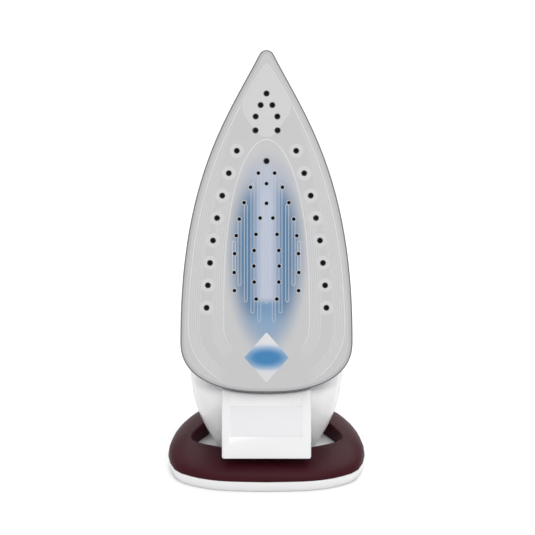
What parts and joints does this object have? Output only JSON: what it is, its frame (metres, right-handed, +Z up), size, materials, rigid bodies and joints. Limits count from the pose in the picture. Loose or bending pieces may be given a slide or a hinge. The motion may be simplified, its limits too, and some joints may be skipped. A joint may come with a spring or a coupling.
{
  "type": "steam iron",
  "caption": "Steam iron standing on its heel, with a pale soleplate, white body, burgundy heel collar and grip, clear tank, press buttons, dial and a pull-out scale collector.",
  "frame": {"origin": "middle of the heel plate's underside, on the surface that the iron stands on", "axes": "+Z up as the iron stands on its heel, soleplate facing -Y and leaning back 20 degrees, X = 0 is the plane of symmetry"},
  "size_m": [0.141, 0.2019, 0.2933],
  "materials": {
    "soleplate": "satin glass-hard coating, pale grey",
    "cast_aluminium": "as cast",
    "steel": "plain",
    "brass": "plain",
    "white_shell": "gloss white, moulded",
    "white_inner": "plain",
    "grey_plastic": "heat-resistant, fine grain",
    "burgundy": "dark burgundy, satin",
    "tank": "tinted clear",
    "rubber": "soft",
    "board": "circuit board",
    "amber": "translucent amber"
  },
  "bodies": {
    "iron": {"soleplate": "soleplate", "steam_chamber": "cast_aluminium", "chamber_cover": "steel", "heating_element": "steel", "thermostat": "brass", "thermal_fuse": "steel", "heat_skirt": "grey_plastic", "body_shell": "white_shell", "water_tank": "tank", "handle_cover": "white_shell", "handle_grip": "burgundy", "spray_nozzle": "grey_plastic", "spray_pump_body": "white_inner", "boost_pump_body": "white_inner", "spray_suction_tube": "rubber", "boost_suction_tube": "rubber", "spray_spring": "steel", "boost_spring": "steel", "valve_body": "brass", "filler_hinge_pin": "steel", "circuit_board": "board", "terminal_block": "white_inner", "indicator_lens": "amber", "indicator_lamp": "amber", "heel_plate": "white_shell", "heel_collar": "burgundy", "heel_screw_1": "steel", "heel_screw_2": "steel", "heel_screw_3": "steel", "heel_screw_4": "steel", "cover_screw_1": "steel", "cover_screw_2": "steel", "cover_screw_3": "steel", "cover_screw_4": "steel", "tank_gasket": "rubber"},
    "dial": {"temperature_dial": "white_shell", "thermostat_shaft": "steel"},
    "spray_key": {"spray_button": "burgundy", "spray_plunger": "steel"},
    "boost_key": {"boost_button": "burgundy", "boost_plunger": "steel"},
    "steam_key": {"steam_slider": "burgundy"},
    "valve": {"valve_rod": "steel"},
    "door": {"filler_door": "burgundy"},
    "collector": {"scale_collector": "white_shell", "collector_seal": "rubber"},
    "cord_swivel": {"cord_gland": "grey_plastic"}
  },
  "joints": [
    {"name": "dial_turn", "type": "hinge", "parent": "iron", "child": "dial", "pos_m": [0, 0.04266, 0.10005], "axis": [0, 0.9397, -0.342], "range_deg": [0, 280]},
    {"name": "spray_press", "type": "slide", "parent": "iron", "child": "spray_key", "axis": [0, -0.9397, 0.342], "range_m": [0, 0.003], "stiffness_N_per_m": 400},
    {"name": "boost_press", "type": "slide", "parent": "iron", "child": "boost_key", "axis": [0, -0.9397, 0.342], "range_m": [0, 0.003], "stiffness_N_per_m": 400},
    {"name": "steam_slide", "type": "slide", "parent": "iron", "child": "steam_key", "axis": [0, 0.342, 0.9397], "range_m": [0, 0.014]},
    {"name": "valve_lift", "type": "slide", "parent": "iron", "child": "valve", "axis": [0, 0.9397, -0.342], "range_m": [0, 0.003]},
    {"name": "door_hinge", "type": "hinge", "parent": "iron", "child": "door", "pos_m": [0, 0.06642, 0.24996], "axis": [1, 0, 0], "range_deg": [0, 105]},
    {"name": "collector_pull", "type": "slide", "parent": "iron", "child": "collector", "axis": [0, -0.9397, 0.342], "range_m": [0, 0.06]},
    {"name": "cord_turn", "type": "hinge", "parent": "iron", "child": "cord_swivel", "pos_m": [0, 0.07725, 0.05766], "axis": [0, 0.6691, -0.7431], "range_deg": [-90, 90]}
  ],
  "couplings": [
    {"joint": "valve_lift", "follows": "steam_slide", "ratio": 0.21429}
  ]
}
